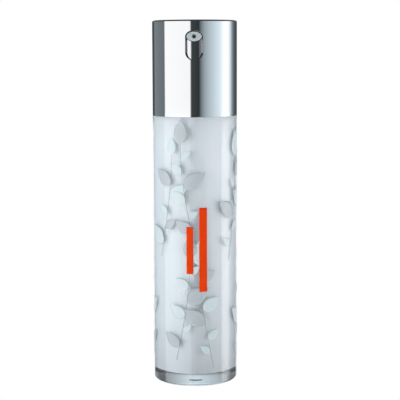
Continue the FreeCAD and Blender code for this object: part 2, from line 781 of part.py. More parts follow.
def make_return_spring():
    """Coil that is closer wound at its ends, between the collar's plate and the button's spring seat."""
    wire = value("spring_wire")
    radius = value("spring_radius")
    turns = int(value("spring_turns"))
    foot = value("collar_level") + value("rest_gap") + wire / 2
    climb = value("seat_foot") - value("rest_gap") - wire / 2 - foot
    end_slack = 0.4
    arcs_per_turn = 4

    def spot(share):
        angle = 2 * math.pi * turns * share
        lift = share - end_slack * math.sin(2 * math.pi * share) / (2 * math.pi)
        return FreeCAD.Vector(radius * math.cos(angle), radius * math.sin(angle), foot + climb * lift)

    def way(share):
        angle = 2 * math.pi * turns * share
        turning = 2 * math.pi * turns * radius
        rising = climb * (1 - end_slack * math.cos(2 * math.pi * share))
        return FreeCAD.Vector(-turning * math.sin(angle), turning * math.cos(angle), rising).normalize()

    steps = turns * arcs_per_turn
    edges = []
    for step in range(steps):
        here = step / steps
        there = (step + 1) / steps
        edges.extend(biarc(spot(here), way(here), spot(there), way(there)))
    path = Part.Wire(edges)
    section = Part.Wire(Part.makeCircle(wire / 2, spot(0), way(0)))
    spring = doc.addObject("Part::Feature", "return_spring")
    spring.Label = "return_spring"
    spring.Shape = path.makePipeShell([section], True, False)
    spring.Placement = FreeCAD.Placement()
    gap = min((spot((step + arcs_per_turn) / steps) - spot(step / steps)).Length
              for step in range(steps - arcs_per_turn + 1)) - wire
    print(f"return_spring: least gap between turns {gap:.2f} mm")
    return spring


def check_objects():
    for item in doc.Objects:
        if "Invalid" in item.State or "Error" in item.State:
            raise RuntimeError(f"{item.Label} is in state {item.State}")


def write_parts(parts):
    os.makedirs("parts", exist_ok=True)
    for part in parts:
        if part.Shape.isNull() or not part.Shape.isValid():
            raise RuntimeError(f"{part.Label} has no valid shape")
    for part in parts:
        part.Shape.exportStep(f"parts/{part.Label}.step")
        print(f"{part.Label}: {len(part.Shape.Solids)} solid, {part.Shape.Volume:.1f} mm3")


all_parts = [
    make_outer_bottle(),
    make_inner_bottle(),
    make_base_plug(),
    make_follower(),
    make_neck_gasket(),
    make_pump_housing(),
    make_inlet_ball(),
    make_ball_retainer(),
    make_pump_piston(),
    make_piston_rod(),
    make_stem(),
    make_housing_cap(),
    make_stem_wiper(),
    make_closure_collar(),
    make_guide_sleeve(),
    make_shroud(),
    make_actuator_shell(),
    make_actuator_core(),
    make_nozzle_insert(),
    make_return_spring(),
]
doc.recompute()
check_objects()
write_parts(all_parts)
print(f"follower rise {value('follower_rise'):.2f} mm, {len(all_parts)} pieces")
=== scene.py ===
import math

import bmesh
import bpy
from mathutils import Matrix, Vector


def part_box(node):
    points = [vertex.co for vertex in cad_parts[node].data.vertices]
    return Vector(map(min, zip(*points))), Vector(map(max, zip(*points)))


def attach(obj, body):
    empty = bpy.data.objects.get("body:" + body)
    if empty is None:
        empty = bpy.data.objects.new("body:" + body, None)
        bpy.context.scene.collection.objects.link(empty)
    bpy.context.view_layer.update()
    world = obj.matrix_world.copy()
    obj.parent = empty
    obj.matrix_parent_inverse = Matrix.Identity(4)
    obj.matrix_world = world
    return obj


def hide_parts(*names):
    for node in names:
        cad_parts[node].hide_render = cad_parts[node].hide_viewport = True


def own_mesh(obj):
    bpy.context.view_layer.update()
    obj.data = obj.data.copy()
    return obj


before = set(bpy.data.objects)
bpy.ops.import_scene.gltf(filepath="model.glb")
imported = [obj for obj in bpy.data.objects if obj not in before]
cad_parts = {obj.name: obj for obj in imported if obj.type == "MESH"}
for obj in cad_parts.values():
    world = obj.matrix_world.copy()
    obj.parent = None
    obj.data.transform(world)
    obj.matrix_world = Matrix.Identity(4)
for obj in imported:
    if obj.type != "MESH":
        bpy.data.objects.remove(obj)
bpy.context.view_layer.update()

# Inner bottle
# The white tube that holds the product, with a shoulder and a neck for the pump under the plated sleeve.
# It is moulded in white polypropylene and sits tight in the clear bottle, so the white reads to its sides.

MM = 0.001
UP = Vector((0, 0, 1))
BOTTLE_BORE = 14.3 * MM
WET_FIT = 0.03 * MM
INNER_BORE = 13.0 * MM
INNER_FOOT_GAP = 0.02 * MM
SHOULDER_THICK = 1.2 * MM
NECK_RADIUS = 10.5 * MM
NECK_BORE = 9.3 * MM
BEAD_RADIUS = 10.9 * MM
BEAD_HEIGHT = 1.0 * MM
BEAD_DROP = 2.0 * MM
WHITE = (0.86, 0.905, 0.935, 1)
WHITE_SHADE = (0.83, 0.88, 0.915, 1)


def turned_piece(name, outline, steps=192):
    """Spins a closed outline of (radius, height, rounding) corners about the bottle's axis."""
    bm = bmesh.new()
    corners = [bm.verts.new((radius, 0, height)) for radius, height, rounding in outline]
    bm.faces.new(corners)
    for corner, (radius, height, rounding) in zip(corners, outline):
        if rounding:
            bmesh.ops.bevel(bm, geom=[corner], offset=rounding, affect="VERTICES", segments=5,
                            profile=0.5, material=-1)
    on_axis = [edge for edge in bm.edges if all(vert.co.x == 0 for vert in edge.verts)]
    bmesh.ops.delete(bm, geom=bm.faces[:], context="FACES_ONLY")
    bmesh.ops.delete(bm, geom=on_axis, context="EDGES")
    bmesh.ops.spin(bm, geom=bm.verts[:] + bm.edges[:], cent=(0, 0, 0), axis=UP, dvec=(0, 0, 0),
                   angle=2 * math.pi, steps=steps, use_merge=True, use_duplicate=False)
    return new_piece(name, bm)


def new_piece(name, bm):
    """Closes the mesh, turns its faces outwards and puts it in the scene as a smooth object."""
    bmesh.ops.remove_doubles(bm, verts=bm.verts, dist=0.0005 * MM)
    bmesh.ops.recalc_face_normals(bm, faces=bm.faces)
    for face in bm.faces:
        face.smooth = True
    mesh = bpy.data.meshes.new(name)
    bm.to_mesh(mesh)
    bm.free()
    piece = bpy.data.objects.new(name, mesh)
    bpy.context.scene.collection.objects.link(piece)
    return piece


def even_shading(piece):
    """Lets the large faces set the normals, so that only the rounded corners shade as curves."""
    weights = piece.modifiers.new("even_shading", "WEIGHTED_NORMAL")
    weights.weight = 100
    weights.keep_sharp = True


def add_node(tree, kind, inputs=None, **settings):
    """A node with its settings, and with each input either linked to a socket or set to a value."""
    made = tree.nodes.new(kind)
    for name, setting in settings.items():
        setattr(made, name, setting)
    for name, source in (inputs or {}).items():
        if isinstance(source, bpy.types.NodeSocket):
            tree.links.new(source, made.inputs[name])
        else:
            made.inputs[name].default_value = source
    return made


def make_moulding_grain():
    """Node group: the slow flow marks and the fine grain that a mould leaves in plastic."""
    group = bpy.data.node_groups.new("moulding_grain", "ShaderNodeTree")
    group.interface.new_socket("Vector", in_out="INPUT", socket_type="NodeSocketVector")
    group.interface.new_socket("Flow scale", in_out="INPUT", socket_type="NodeSocketFloat")
    group.interface.new_socket("Grain scale", in_out="INPUT", socket_type="NodeSocketFloat")
    group.interface.new_socket("Flow", in_out="OUTPUT", socket_type="NodeSocketFloat")
    group.interface.new_socket("Grain", in_out="OUTPUT", socket_type="NodeSocketFloat")
    given = add_node(group, "NodeGroupInput").outputs
    result = add_node(group, "NodeGroupOutput").inputs
    flow = add_node(group, "ShaderNodeTexNoise", {
        "Vector": given["Vector"],
        "Scale": given["Flow scale"],
        "Detail": 2.0,
        "Distortion": 0.4,
    })
    grain = add_node(group, "ShaderNodeTexNoise", {
        "Vector": given["Vector"],
        "Scale": given["Grain scale"],
        "Detail": 3.0,
    })
    group.links.new(flow.outputs["Fac"], result["Flow"])
    group.links.new(grain.outputs["Fac"], result["Grain"])
    return group


MOULDING_GRAIN = make_moulding_grain()


def moulded_finish(name, colour, shade, smoothest, roughest, flow_scale=60, grain_scale=2500,
                   relief=0.002 * MM):
    """Moulded plastic or plating: colour drifts with the flow, and a fine grain changes gloss and surface."""
    material = bpy.data.materials.new(name)
    material.use_nodes = True
    tree = material.node_tree
    shader = tree.nodes["Principled BSDF"]
    place = add_node(tree, "ShaderNodeTexCoord")
    grain = add_node(tree, "ShaderNodeGroup", node_tree=MOULDING_GRAIN)
    tree.links.new(place.outputs["Object"], grain.inputs["Vector"])
    grain.inputs["Flow scale"].default_value = flow_scale
    grain.inputs["Grain scale"].default_value = grain_scale
    tint = add_node(tree, "ShaderNodeValToRGB", {"Fac": grain.outputs["Flow"]})
    tint.color_ramp.elements[0].position = 0.3
    tint.color_ramp.elements[0].color = shade
    tint.color_ramp.elements[1].position = 0.7
    tint.color_ramp.elements[1].color = colour
    gloss = add_node(tree, "ShaderNodeMapRange",
                     {"Value": grain.outputs["Grain"], "To Min": smoothest, "To Max": roughest})
    bump = add_node(tree, "ShaderNodeBump",
                    {"Height": grain.outputs["Grain"], "Distance": relief, "Strength": 1.0})
    tree.links.new(tint.outputs["Color"], shader.inputs["Base Color"])
    tree.links.new(gloss.outputs["Result"], shader.inputs["Roughness"])
    tree.links.new(bump.outputs["Normal"], shader.inputs["Normal"])
    return material


inner_low, inner_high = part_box("inner_bottle")
shoulder_radius = inner_high.x
shoulder_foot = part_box("outer_bottle")[1].z
shoulder_top = shoulder_foot + SHOULDER_THICK
neck_top = inner_high.z
inner_radius = BOTTLE_BORE + WET_FIT
inner_bottle = turned_piece("white_inner_bottle", [
    (INNER_BORE, inner_low.z + INNER_FOOT_GAP, 0.2 * MM),
    (inner_radius, inner_low.z + INNER_FOOT_GAP, 0.03 * MM),
    (inner_radius, shoulder_foot, 0),
    (shoulder_radius, shoulder_foot, 0.1 * MM),
    (shoulder_radius, shoulder_top, 0.3 * MM),
    (NECK_RADIUS, shoulder_top, 0.4 * MM),
    (NECK_RADIUS, neck_top - BEAD_DROP - BEAD_HEIGHT, 0),
    (BEAD_RADIUS, neck_top - BEAD_DROP - BEAD_HEIGHT, 0.15 * MM),
    (BEAD_RADIUS, neck_top - BEAD_DROP, 0.3 * MM),
    (NECK_RADIUS, neck_top - BEAD_DROP, 0),
    (NECK_RADIUS, neck_top, 0.2 * MM),
    (NECK_BORE, neck_top, 0.2 * MM),
    (NECK_BORE, shoulder_foot, 0.4 * MM),
    (INNER_BORE, shoulder_foot, 0.4 * MM),
])
even_shading(inner_bottle)
white_plastic = moulded_finish("white_plastic", WHITE, WHITE_SHADE, 0.32, 0.42)
inner_bottle.data.materials.append(white_plastic)
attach(inner_bottle, "bottle")
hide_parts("inner_bottle")

# Base plug
# A white disc with an upturned rim, pressed into the inner bottle's lower end.
# The small hole in its middle lets air in under the follower as the product is used.

PLUG_RIM_BORE = 11.5 * MM
PLUG_WEB = 1.2 * MM
PLUG_VENT = 1.0 * MM

plug_low, plug_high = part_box("base_plug")
base_plug = turned_piece("base_plug_disc", [
    (PLUG_VENT, plug_low.z + INNER_FOOT_GAP, 0.15 * MM),
    (plug_high.x, plug_low.z + INNER_FOOT_GAP, 0.25 * MM),
    (plug_high.x, plug_high.z, 0.3 * MM),
    (PLUG_RIM_BORE, plug_high.z, 0.3 * MM),
    (PLUG_RIM_BORE, plug_low.z + PLUG_WEB, 0.4 * MM),
    (PLUG_VENT, plug_low.z + PLUG_WEB, 0.15 * MM),
], steps=96)
even_shading(base_plug)
base_plug.data.materials.append(white_plastic)
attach(base_plug, "bottle")
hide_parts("base_plug")

# Follower and pump
# The pieces that stay inside: follower, cylinder, valves, piston, rod, stem, cap, sleeve and the button's
# core in milky natural plastic, two soft seals, a steel ball and the white snap-on collar.
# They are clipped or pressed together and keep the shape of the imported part.

natural_plastic = moulded_finish("natural_plastic", (0.83, 0.84, 0.81, 1), (0.77, 0.78, 0.75, 1), 0.38, 0.52)
soft_seal = moulded_finish("soft_seal", (0.62, 0.63, 0.63, 1), (0.54, 0.55, 0.56, 1), 0.6, 0.75,
                           flow_scale=150, relief=0.006 * MM)
bright_steel = moulded_finish("bright_steel", (0.66, 0.67, 0.69, 1), (0.56, 0.57, 0.59, 1), 0.14, 0.26,
                              flow_scale=220, grain_scale=4000)
bright_steel.node_tree.nodes["Principled BSDF"].inputs["Metallic"].default_value = 1.0
INSIDE_FINISHES = {
    natural_plastic: ["follower_piston", "pump_housing", "ball_retainer", "pump_piston", "piston_rod", "stem",
                      "housing_cap", "guide_sleeve", "actuator_core"],
    soft_seal: ["neck_gasket", "stem_wiper"],
    bright_steel: ["inlet_ball"],
    white_plastic: ["closure_collar"],
}
for finish, nodes in INSIDE_FINISHES.items():
    for node in nodes:
        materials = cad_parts[node].data.materials
        materials.clear()
        materials.append(finish)

# Return spring
# A coil of drawn steel wire between the collar and the button's seat, closer wound towards its ends.
# It stands clear of the product, round the stem, and is shortened by the button's stroke.

SPRING_WIRE = 0.85 * MM
SPRING_TURNS = 7
SPRING_END_SLACK = 0.4
SPRING_SIDES = 14
SPINS_PER_TURN = 4
STEPS_PER_SPIN = 10

spring_low, spring_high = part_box("return_spring")
spring_radius = spring_high.x - SPRING_WIRE / 2
spring_foot = spring_low.z + SPRING_WIRE / 2
spring_climb = spring_high.z - spring_low.z - SPRING_WIRE


def spring_level(share):
    """Height of the wire's centre at this share of its turns: it climbs slowest at the ends."""
    return spring_climb * (share - SPRING_END_SLACK * math.sin(2 * math.pi * share) / (2 * math.pi))


bm = bmesh.new()
wire_end = bmesh.ops.create_circle(bm, segments=SPRING_SIDES, radius=SPRING_WIRE / 2, cap_ends=True)["verts"]
bmesh.ops.rotate(bm, verts=wire_end, cent=(0, 0, 0), matrix=Matrix.Rotation(math.pi / 2, 3, "X"))
bmesh.ops.translate(bm, verts=wire_end, vec=(spring_radius, 0, spring_foot))
ring = bm.verts[:] + bm.edges[:]
spins = SPRING_TURNS * SPINS_PER_TURN
for spin in range(spins):
    rise = spring_level((spin + 1) / spins) - spring_level(spin / spins)
    ring = bmesh.ops.spin(bm, geom=ring, cent=(0, 0, 0), axis=UP, dvec=UP * (rise / STEPS_PER_SPIN),
                          angle=2 * math.pi / SPINS_PER_TURN, steps=STEPS_PER_SPIN)["geom_last"]
bmesh.ops.contextual_create(bm, geom=[part for part in ring if isinstance(part, bmesh.types.BMEdge)])
return_spring = new_piece("wound_return_spring", bm)
return_spring.data.materials.append(bright_steel)
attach(return_spring, "bottle")
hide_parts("return_spring")
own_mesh(return_spring)

# Clear outer bottle
# A thick-walled clear bottle with a solid base, injection-moulded and polished, open at the top.
# It is pushed up over the inner bottle. The round mark under its base is the moulding's gate, and a notch at
# the back of its rim lets air in.

BASE_THICK = 4.8 * MM
BASE_ROUND = 1.3 * MM
GATE_RADIUS = 1.8 * MM
GATE_DEPTH = 0.3 * MM
NOTCH_WIDTH = 2.0 * MM
NOTCH_DEPTH = 0.3 * MM
PLASTIC_IOR = 1.49

bottle_low, bottle_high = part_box("outer_bottle")
body_radius = bottle_high.x
outer_bottle = turned_piece("clear_outer_bottle", [
    (0, GATE_DEPTH, 0),
    (GATE_RADIUS, GATE_DEPTH, 0.1 * MM),
    (GATE_RADIUS, bottle_low.z, 0.1 * MM),
    (body_radius, bottle_low.z, BASE_ROUND),
    (body_radius, bottle_high.z, 0.15 * MM),
    (BOTTLE_BORE, bottle_high.z, 0.15 * MM),
    (BOTTLE_BORE, BASE_THICK, 0.03 * MM),
    (0, BASE_THICK, 0),
], steps=240)
for vert in outer_bottle.data.vertices:
    if vert.co.z > bottle_high.z - NOTCH_DEPTH and vert.co.y > 0 and abs(vert.co.x) < NOTCH_WIDTH / 2:
        vert.co.z -= NOTCH_DEPTH
even_shading(outer_bottle)
clear_plastic = moulded_finish("clear_plastic", (0.975, 0.985, 0.995, 1), (0.96, 0.975, 0.99, 1), 0.0, 0.02,
                               flow_scale=40, grain_scale=90, relief=0.004 * MM)
clear_shader = clear_plastic.node_tree.nodes["Principled BSDF"]
clear_shader.inputs["Transmission Weight"].default_value = 1.0
clear_shader.inputs["IOR"].default_value = PLASTIC_IOR
clear_tree = clear_plastic.node_tree
let_through = add_node(clear_tree, "ShaderNodeMixShader", {
    0: add_node(clear_tree, "ShaderNodeLightPath").outputs["Is Shadow Ray"],
    1: clear_shader.outputs["BSDF"],
    2: add_node(clear_tree, "ShaderNodeBsdfTransparent").outputs["BSDF"],
})
clear_tree.links.new(let_through.outputs["Shader"], clear_tree.nodes["Material Output"].inputs["Surface"])
outer_bottle.data.materials.append(clear_plastic)
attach(outer_bottle, "bottle")
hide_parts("outer_bottle")

# Printed decoration
# Screen-printed ink on the outside of the clear bottle: pale sprigs of leaves all round, and two plain orange
# stripes at the front. The ink stands a little off the white behind it, so its shadows fall beside it.

INK_LIFT = 0.02 * MM
INK_THICK = 0.02 * MM
LEAF_ROWS = 14
LEAF_COLUMNS = 8
LEAF_LENGTH = 7.5 * MM
LEAF_LENGTH_CHANGE = 3.0 * MM
LEAF_WIDTH_SHARE = 0.6
LEAF_LEAN = 0.95
STEM_WIDTH = 0.24 * MM
STEM_TAPER = 0.6
STEM_ROWS = 28
SPRIG_COUNT = 7
SPRIG_FEET = (8 * MM, 52 * MM)
SPRIG_FOOT_CHANGE = 3 * MM
SPRIG_LENGTH = 40 * MM
SPRIG_BOW = 5.5 * MM
LEAVES_PER_SPRIG = 7
STRIPES = (
    # Left edge, width, foot and length
    (1.7 * MM, 3.0 * MM, 37.6 * MM, 32.7 * MM),
    (-3.2 * MM, 2.6 * MM, 44.6 * MM, 18.3 * MM),
)
STRIPE_COLUMNS = 10
STRIPE_ROWS = 40
STRIPE_SHINE = 0.06


def inked_patch(bm, columns, rows, outline):
    """A flat patch of ink: outline gives the place on the bottle for (-1 to 1 across, 0 to 1 along)."""
    patch = bmesh.ops.create_grid(bm, x_segments=columns, y_segments=rows, size=1.0)["verts"]
    for vert in patch:
        across, up = outline(vert.co.x, (vert.co.y + 1) / 2)
        vert.co = (across, up, 0)
    return patch


def wrap_ink(name, bm, lift, colour, shade, smoothest, roughest):
    """Bends the flat ink onto the clear bottle, thickens it outwards and gives it its finish."""
    bmesh.ops.remove_doubles(bm, verts=bm.verts, dist=0.001 * MM)
    for vert in bm.verts:
        angle = vert.co.x / body_radius
        radius = body_radius + lift
        vert.co = (radius * math.sin(angle), -radius * math.cos(angle), vert.co.y)
    skin = bmesh.ops.extrude_face_region(bm, geom=bm.faces[:], use_keep_orig=True)["geom"]
    for part in skin:
        if isinstance(part, bmesh.types.BMVert):
            part.co.xy *= 1 + INK_THICK / (body_radius + lift)
    ink = new_piece(name, bm)
    ink.data.materials.append(moulded_finish(name + "_ink", colour, shade, smoothest, roughest,
                                             flow_scale=300, grain_scale=3000, relief=0.001 * MM))
    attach(ink, "bottle")
    return ink


def leaf_outline(foot_across, foot_up, length, width, lean):
    """Place on the bottle for a pointed leaf that grows from its foot at an angle from upright."""
    def outline(side, along):
        swell = math.sin(math.pi * along ** 0.8)
        across = side * width / 2 * swell
        up = along * length
        return (foot_across + across * math.cos(lean) + up * math.sin(lean),
                foot_up - across * math.sin(lean) + up * math.cos(lean))
    return outline


pale_leaves = bmesh.new()
grey_leaves = bmesh.new()
stems = bmesh.new()
round_length = 2 * math.pi * body_radius
for row, sprig_foot in enumerate(SPRIG_FEET):
    for number in range(SPRIG_COUNT):
        foot_across = round_length * ((number + 0.5 * row) / SPRIG_COUNT - 0.5)
        bow = SPRIG_BOW * (1 if (number + row) % 2 else -1)
        foot_up = sprig_foot + SPRIG_FOOT_CHANGE * math.sin(2.4 * number + row)

        def stem_place(side, along):
            """Place on the bottle for a bowed stem that gets thinner towards its tip."""
            half_width = STEM_WIDTH / 2 * (1 - STEM_TAPER * along)
            return (foot_across + bow * math.sin(0.5 * math.pi * along) + side * half_width,
                    foot_up + SPRIG_LENGTH * along)

        inked_patch(stems, 1, STEM_ROWS, stem_place)
        for leaf in range(LEAVES_PER_SPRIG):
            along = (leaf + 1) / LEAVES_PER_SPRIG
            across, up = stem_place(0, along)
            lean = LEAF_LEAN if leaf % 2 else -LEAF_LEAN
            if leaf == LEAVES_PER_SPRIG - 1:
                lean = 0
            length = LEAF_LENGTH + LEAF_LENGTH_CHANGE * math.sin(1.7 * leaf + number)
            leaves = grey_leaves if (leaf + number) % 3 == 0 else pale_leaves
            inked_patch(leaves, LEAF_COLUMNS, LEAF_ROWS,
                        leaf_outline(across, up, length, LEAF_WIDTH_SHARE * length, lean))
wrap_ink("printed_pale_leaves", pale_leaves, INK_LIFT, (0.74, 0.84, 0.86, 1),
         (0.69, 0.80, 0.82, 1), 0.3, 0.4)
wrap_ink("printed_grey_leaves", grey_leaves, INK_LIFT + 2 * INK_THICK, (0.57, 0.62, 0.65, 1),
         (0.53, 0.58, 0.61, 1), 0.3, 0.4)
wrap_ink("printed_stems", stems, INK_LIFT + 4 * INK_THICK, (0.42, 0.45, 0.48, 1),
         (0.38, 0.41, 0.44, 1), 0.35, 0.45)
stripes = bmesh.new()
for left, width, foot, length in STRIPES:
    inked_patch(stripes, STRIPE_COLUMNS, STRIPE_ROWS,
                lambda side, along: (left + width * (side + 1) / 2, foot + length * along))
print_stripes = wrap_ink("printed_stripes", stripes, INK_LIFT + 6 * INK_THICK, (0.93, 0.062, 0.004, 1),
                         (0.88, 0.052, 0.003, 1), 0.45, 0.55)
matt_ink = print_stripes.data.materials[0].node_tree.nodes["Principled BSDF"]
matt_ink.inputs["Specular IOR Level"].default_value = STRIPE_SHINE

# Shroud
# The plated sleeve over pump and button: moulded plastic with a mirror-bright chrome plating, flush with the
# bottle. It clips onto the guide sleeve, and the window at its front leaves the nozzle its stroke.

SHROUD_WALL = 1.7 * MM
SHROUD_ROUND = 0.6 * MM
EDGE_ROUND = 0.2 * MM
FOOT_EDGE_ROUND = 0.12 * MM
# Inside the wall's thickness the plating is painted darker: painted shade for the gap round the window.
EDGE_SHADE_FADE_START = 0.02 * MM
EDGE_SHADE_FADE_END = 0.005 * MM
EDGE_PAINTED_SHADE = 0.4
EDGE_ROUGHENING = 0.02
WINDOW_HALF_WIDTH = 3.25 * MM
WINDOW_FOOT_LEVEL = 129.3 * MM
WINDOW_FOOT_RISE = 2.85 * MM
WINDOW_CROWN_LEVEL = 135.4 * MM
WINDOW_CROWN_RISE = 2.15 * MM
WINDOW_BORDER = 0.8 * MM
WINDOW_DRAFT = 0.14 * MM
WINDOW_SIDES = 64
SLEEVE_STEPS = 200


def opening_place(unit, half_width, foot_level, foot_rise, crown_level, crown_rise):
    """Where a point of the unit circle lies on an upright opening with rounded foot and crown."""
    tip = math.pi / WINDOW_SIDES
    share = (abs(unit.y) - math.sin(tip)) / (math.cos(tip) - math.sin(tip))
    level = crown_level + crown_rise * share if unit.y > 0 else foot_level - foot_rise * share
    return Vector((half_width * unit.x / math.cos(tip), 0, level))


def windowed_wall(radius, foot, top, half_width, foot_level, foot_rise, crown_level, crown_rise):
    """A round wall as one sheet of upright strips, with an opening at its front and a border round that."""
    bm = bmesh.new()
    circle = bmesh.ops.create_circle(bm, segments=WINDOW_SIDES, radius=1.0)["verts"]
    bmesh.ops.rotate(bm, verts=circle, cent=(0, 0, 0), matrix=Matrix.Rotation(math.pi / WINDOW_SIDES, 3, "Z"))
    units = [vert.co.copy() for vert in circle]
    crown = [edge for edge in bm.edges if all(vert.co.y > 0 for vert in edge.verts)]
    sill = [edge for edge in bm.edges if all(vert.co.y < 0 for vert in edge.verts)]
    ring = bm.edges[:]
    reach = half_width + WINDOW_BORDER
    for vert, unit in zip(circle, units):
        vert.co = opening_place(unit, reach, foot_level, foot_rise + WINDOW_BORDER,
                                crown_level, crown_rise + WINDOW_BORDER)
    for edges, level in ((crown, top), (sill, foot)):
        for part in bmesh.ops.extrude_edge_only(bm, edges=edges)["geom"]:
            if isinstance(part, bmesh.types.BMVert):
                part.co.z = level
    inset = bmesh.ops.extrude_edge_only(bm, edges=ring)["geom"]
    rim = [part for part in inset if isinstance(part, bmesh.types.BMVert)]
    for vert in rim:
        nearest = min(range(len(units)), key=lambda number: (circle[number].co - vert.co).length)
        vert.co = opening_place(units[nearest], half_width, foot_level, foot_rise, crown_level, crown_rise)
    for vert in bm.verts:
        vert.co.y = -math.sqrt(radius ** 2 - vert.co.x ** 2)
    side = [vert for vert in bm.verts if vert.co.x > reach - 0.001 * MM]
    chain = [edge for edge in bm.edges if all(vert in side for vert in edge.verts)]
    bmesh.ops.spin(bm, geom=side + chain, cent=(0, 0, 0), axis=UP, dvec=(0, 0, 0),
                   angle=2 * math.pi - 2 * math.asin(reach / radius), steps=SLEEVE_STEPS)
    bmesh.ops.remove_doubles(bm, verts=bm.verts, dist=0.001 * MM)
    bmesh.ops.recalc_face_normals(bm, faces=bm.faces)
    return bm


def opening_rim(bm, foot, top):
    """The places of the points round the sheet's opening, which lies between its foot and its top."""
    return {tuple(vert.co) for edge in bm.edges if edge.is_boundary for vert in edge.verts
            if foot + MM < vert.co.z < top - MM}


def move_inwards(vert, wall, rim, kept_width):
    """Moves a point of a round wall to its inner face: the opening keeps this share of its width."""
    if tuple(vert.co) in rim:
        inner_radius = vert.co.xy.length - wall
        vert.co.x *= kept_width
        vert.co.y = -math.sqrt(inner_radius ** 2 - vert.co.x ** 2)
    else:
        vert.co.xy *= 1 - wall / vert.co.xy.length


def thicken_inwards(bm, wall, rim, kept_width):
    """Gives the sheet a wall towards the axis and closes it at its edges."""
    inside = bmesh.ops.extrude_face_region(bm, geom=bm.faces[:], use_keep_orig=True)["geom"]
    for part in inside:
        if isinstance(part, bmesh.types.BMVert):
            move_inwards(part, wall, rim, kept_width)
    bmesh.ops.recalc_face_normals(bm, faces=bm.faces)


def round_edges(bm, rounding, chosen):
    """Rounds the edges whose two ends are both chosen and whose faces meet at a sharp angle."""
    sharp = [edge for edge in bm.edges if len(edge.link_faces) == 2 and edge.calc_face_angle() > 0.8
             and all(chosen(vert.co) for vert in edge.verts)]
    bmesh.ops.bevel(bm, geom=sharp, offset=rounding, affect="EDGES", segments=4, profile=0.5, material=-1,
                    clamp_overlap=True)


def true_walls(piece, outer, inner):
    """Points the normals of the round walls straight out from the axis, so that reflections run straight."""
    tolerance = 0.01 * MM
    normals = []
    for vert in piece.data.vertices:
        radial = Vector((vert.co.x, vert.co.y, 0))
        if abs(radial.length - outer) < tolerance:
            normals.append(radial.normalized())
        elif abs(radial.length - inner) < tolerance:
            normals.append(-radial.normalized())
        else:
            normals.append(vert.normal.copy())
    piece.data.normals_split_custom_set_from_vertices(normals)


shroud_low, shroud_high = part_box("shroud")
bm = windowed_wall(body_radius, shroud_low.z, shroud_high.z, WINDOW_HALF_WIDTH, WINDOW_FOOT_LEVEL,
                   WINDOW_FOOT_RISE, WINDOW_CROWN_LEVEL, WINDOW_CROWN_RISE)
thicken_inwards(bm, SHROUD_WALL, opening_rim(bm, shroud_low.z, shroud_high.z),
                1 - WINDOW_DRAFT / WINDOW_HALF_WIDTH)
wall_middle = body_radius - SHROUD_WALL / 2
top_band = shroud_high.z - SHROUD_ROUND
round_edges(bm, SHROUD_ROUND, lambda co: co.z > top_band and co.xy.length > wall_middle)
round_edges(bm, EDGE_ROUND, lambda co: WINDOW_FOOT_LEVEL - WINDOW_FOOT_RISE - EDGE_ROUND < co.z < top_band)
round_edges(bm, FOOT_EDGE_ROUND, lambda co: co.z < shroud_low.z + EDGE_ROUND)
shroud = new_piece("plated_shroud", bm)
true_walls(shroud, body_radius, body_radius - SHROUD_WALL)
chrome_plating = moulded_finish("chrome_plating", (0.90, 0.915, 0.925, 1), (0.885, 0.90, 0.912, 1), 0.02,
                                0.05, flow_scale=45, grain_scale=600, relief=0.0002 * MM)
chrome_plating.node_tree.nodes["Principled BSDF"].inputs["Metallic"].default_value = 1.0


def paint_shade_where(material, mask, share, roughening):
    """Paints shade into a finish where the mask is 1: its colour falls to this share, and its roughness
    rises.
    """
    tree = material.node_tree
    shader = tree.nodes["Principled BSDF"]
    colour = shader.inputs["Base Color"].links[0].from_socket
    gloss = shader.inputs["Roughness"].links[0].from_socket
    left = add_node(tree, "ShaderNodeMapRange", {"Value": mask, "To Min": 1.0, "To Max": share})
    dulled = add_node(tree, "ShaderNodeVectorMath", {0: colour, "Scale": left.outputs["Result"]},
                      operation="SCALE")
    rougher = add_node(tree, "ShaderNodeMath", {0: mask, 1: roughening, 2: gloss}, operation="MULTIPLY_ADD")
    tree.links.new(dulled.outputs["Vector"], shader.inputs["Base Color"])
    tree.links.new(rougher.outputs["Value"], shader.inputs["Roughness"])


# Painted shade: chrome points inside the shroud's wall, away from its inner and outer faces, fall to a share
# of their colour and get a little rougher. This stands in for the shadow and dark reflections in the window's
# gap.
chrome_tree = chrome_plating.node_tree
chrome_place = add_node(chrome_tree, "ShaderNodeTexCoord")
flat_place = add_node(chrome_tree, "ShaderNodeVectorMath", {0: chrome_place.outputs["Object"], 1: (1, 1, 0)},
                      operation="MULTIPLY")
from_axis = add_node(chrome_tree, "ShaderNodeVectorMath", {0: flat_place.outputs["Vector"]},
                     operation="LENGTH")
wall_middle_offset = add_node(chrome_tree, "ShaderNodeMath", {0: from_axis.outputs["Value"], 1: wall_middle},
                              operation="SUBTRACT")
off_middle = add_node(chrome_tree, "ShaderNodeMath", {0: wall_middle_offset.outputs["Value"]},
                      operation="ABSOLUTE")
painted_edge_shade = add_node(chrome_tree, "ShaderNodeMapRange", {
    "Value": off_middle.outputs["Value"],
    "From Min": SHROUD_WALL / 2 - EDGE_SHADE_FADE_START,
    "From Max": SHROUD_WALL / 2 - EDGE_SHADE_FADE_END,
    "To Min": 1.0,
    "To Max": 0.0,
})
paint_shade_where(chrome_plating, painted_edge_shade.outputs["Result"], EDGE_PAINTED_SHADE, EDGE_ROUGHENING)
shroud.data.materials.append(chrome_plating)
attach(shroud, "bottle")
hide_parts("shroud")

# Button
# The plated push button that slides in the shroud: a cup with a shallow dish for the finger, moulded and
# plated like the shroud. Its core is pressed in from below, and the nozzle comes out through an oval hole.

BUTTON_WALL = 1.15 * MM
BUTTON_ROUND = 0.5 * MM
DISH_RIM = 2.55 * MM
DISH_DEPTH = 0.6 * MM
DISH_RINGS = 10
NOZZLE_LEVEL = 135.4 * MM
HOLE_HALF_WIDTH = 3.05 * MM
HOLE_HALF_HEIGHT = 2.0 * MM

